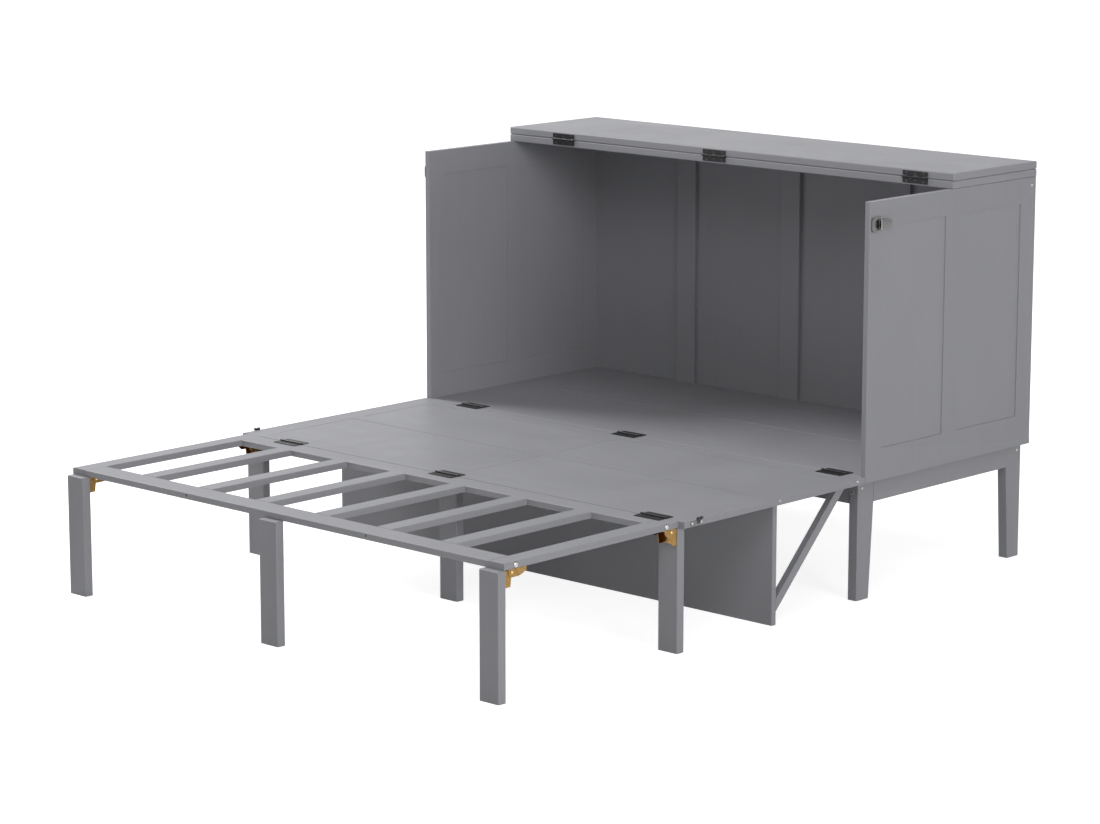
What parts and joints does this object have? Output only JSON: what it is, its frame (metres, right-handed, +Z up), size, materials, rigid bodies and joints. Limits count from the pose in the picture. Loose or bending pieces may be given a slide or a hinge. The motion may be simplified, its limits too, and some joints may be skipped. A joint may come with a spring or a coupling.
{
  "type": "cabinet bed",
  "caption": "Cabinet bed, shown open: framed cabinet with a folding top, a drop-down deck and a slatted frame on folding legs",
  "frame": {"origin": "on the floor, in the middle of the open bed's length and width", "axes": "+X to the right seen from the foot, +Y towards the head (the cabinet), +Z up"},
  "size_m": [1.658, 2.0976, 1.1104],
  "materials": {
    "grey_paint": "satin paint on board",
    "black_hinge": "black, semi-gloss",
    "yellow_zinc": "yellow zinc plate",
    "steel": "bright nickel plate"
  },
  "bodies": {
    "cabinet": {"side_frame_left": "grey_paint", "side_frame_right": "grey_paint", "side_fields": "grey_paint", "back_panel": "grey_paint", "back_mullions": "grey_paint", "floor_front_board": "grey_paint", "floor_rear_board": "grey_paint", "floor_batten": "grey_paint", "fixed_top": "grey_paint", "base_leg_front_left": "grey_paint", "base_leg_front_right": "grey_paint", "base_leg_rear_left": "grey_paint", "base_leg_rear_right": "grey_paint", "front_apron": "grey_paint", "rear_apron": "grey_paint", "side_aprons": "grey_paint", "cabinet_hinge_leaves": "black_hinge", "cabinet_hinge_pins": "black_hinge", "latch_bases": "steel", "cabinet_screws": "steel"},
    "top_flap": {"top_flap": "grey_paint", "flap_hinge_leaves": "black_hinge"},
    "deck": {"deck_frame": "grey_paint", "deck_fields": "grey_paint", "deck_hinge_leaves": "black_hinge", "deck_hinge_pins": "black_hinge", "latch_keepers": "steel", "deck_screws": "steel"},
    "slat_frame": {"frame_side_rail_left": "grey_paint", "frame_side_rail_right": "grey_paint", "frame_head_rail": "grey_paint", "frame_foot_rail": "grey_paint", "slats": "grey_paint", "frame_bolts": "steel", "frame_hinge_leaves": "black_hinge", "leg_brackets": "yellow_zinc", "leg_pivot_pins": "yellow_zinc"},
    "foot_leg_left": {"foot_leg_left": "grey_paint", "foot_leg_channel_left": "yellow_zinc"},
    "foot_leg_centre": {"foot_leg_centre": "grey_paint", "foot_leg_centre_leaf": "black_hinge"},
    "foot_leg_right": {"foot_leg_right": "grey_paint", "foot_leg_channel_right": "yellow_zinc"},
    "mid_leg_left": {"mid_leg_left": "grey_paint", "mid_leg_channel_left": "yellow_zinc"},
    "mid_leg_centre": {"mid_leg_centre": "grey_paint", "mid_leg_centre_leaf": "black_hinge"},
    "mid_leg_right": {"mid_leg_right": "grey_paint", "mid_leg_channel_right": "yellow_zinc"},
    "support_panel": {"support_panel": "grey_paint", "support_hinge_leaves": "black_hinge", "brace_hinge_pins": "black_hinge"},
    "brace_left": {"brace_left": "grey_paint", "brace_leaf_left": "black_hinge"},
    "brace_right": {"brace_right": "grey_paint", "brace_leaf_right": "black_hinge"},
    "latch_lever_left": {"latch_lever_left": "steel"},
    "latch_lever_right": {"latch_lever_right": "steel"},
    "latch_loop_left": {"latch_loop_left": "steel"},
    "latch_loop_right": {"latch_loop_right": "steel"}
  },
  "joints": [
    {"name": "top_flap_hinge", "type": "hinge", "parent": "cabinet", "child": "top_flap", "pos_m": [0, 0.66695, 1.0894], "axis": [1, 0, 0], "range_deg": [0, 180]},
    {"name": "deck_hinge", "type": "hinge", "parent": "cabinet", "child": "deck", "pos_m": [0, 0.31325, 0.3428], "axis": [-1, 0, 0], "range_deg": [0, 90]},
    {"name": "frame_fold", "type": "hinge", "parent": "deck", "child": "slat_frame", "pos_m": [0, -0.40825, 0.3428], "axis": [-1, 0, 0], "range_deg": [0, 180]},
    {"name": "foot_leg_left_fold", "type": "hinge", "parent": "slat_frame", "child": "foot_leg_left", "pos_m": [-0.766, -1.00075, 0.315], "axis": [1, 0, 0], "range_deg": [0, 90]},
    {"name": "mid_leg_left_fold", "type": "hinge", "parent": "slat_frame", "child": "mid_leg_left", "pos_m": [-0.766, -0.43175, 0.315], "axis": [-1, 0, 0], "range_deg": [0, 82]},
    {"name": "foot_leg_right_fold", "type": "hinge", "parent": "slat_frame", "child": "foot_leg_right", "pos_m": [0.766, -1.00075, 0.315], "axis": [1, 0, 0], "range_deg": [0, 90]},
    {"name": "mid_leg_right_fold", "type": "hinge", "parent": "slat_frame", "child": "mid_leg_right", "pos_m": [0.766, -0.43175, 0.315], "axis": [-1, 0, 0], "range_deg": [0, 82]},
    {"name": "foot_leg_centre_fold", "type": "hinge", "parent": "slat_frame", "child": "foot_leg_centre", "pos_m": [-0.0075, -1.01995, 0.3202], "axis": [1, 0, 0], "range_deg": [0, 90]},
    {"name": "mid_leg_centre_fold", "type": "hinge", "parent": "slat_frame", "child": "mid_leg_centre", "pos_m": [-0.0075, -0.41255, 0.3202], "axis": [-1, 0, 0], "range_deg": [0, 82]},
    {"name": "support_fold", "type": "hinge", "parent": "deck", "child": "support_panel", "pos_m": [-0.013, -0.03555, 0.3212], "axis": [-1, 0, 0], "range_deg": [0, 90]},
    {"name": "brace_right_swing", "type": "hinge", "parent": "support_panel", "child": "brace_right", "pos_m": [0.7702, -0.01295, 0.0645], "axis": [0, 0, 1], "range_deg": [0, 90]},
    {"name": "brace_left_swing", "type": "hinge", "parent": "support_panel", "child": "brace_left", "pos_m": [-0.7962, -0.01295, 0.0645], "axis": [0, 0, -1], "range_deg": [0, 90]},
    {"name": "latch_lever_right_pivot", "type": "hinge", "parent": "cabinet", "child": "latch_lever_right", "pos_m": [0.823, 0.34575, 1.008], "axis": [0, 0, -1], "range_deg": [0, 135]},
    {"name": "latch_loop_right_pivot", "type": "hinge", "parent": "latch_lever_right", "child": "latch_loop_right", "pos_m": [0.823, 0.35575, 1.008], "axis": [0, 0, -1], "range_deg": [-135, 0]},
    {"name": "latch_lever_left_pivot", "type": "hinge", "parent": "cabinet", "child": "latch_lever_left", "pos_m": [-0.823, 0.34575, 1.008], "axis": [0, 0, 1], "range_deg": [0, 135]},
    {"name": "latch_loop_left_pivot", "type": "hinge", "parent": "latch_lever_left", "child": "latch_loop_left", "pos_m": [-0.823, 0.35575, 1.008], "axis": [0, 0, 1], "range_deg": [-135, 0]}
  ],
  "couplings": [
    {"joint": "latch_loop_left_pivot", "follows": "latch_lever_left_pivot", "ratio": -1},
    {"joint": "latch_loop_right_pivot", "follows": "latch_lever_right_pivot", "ratio": -1}
  ]
}
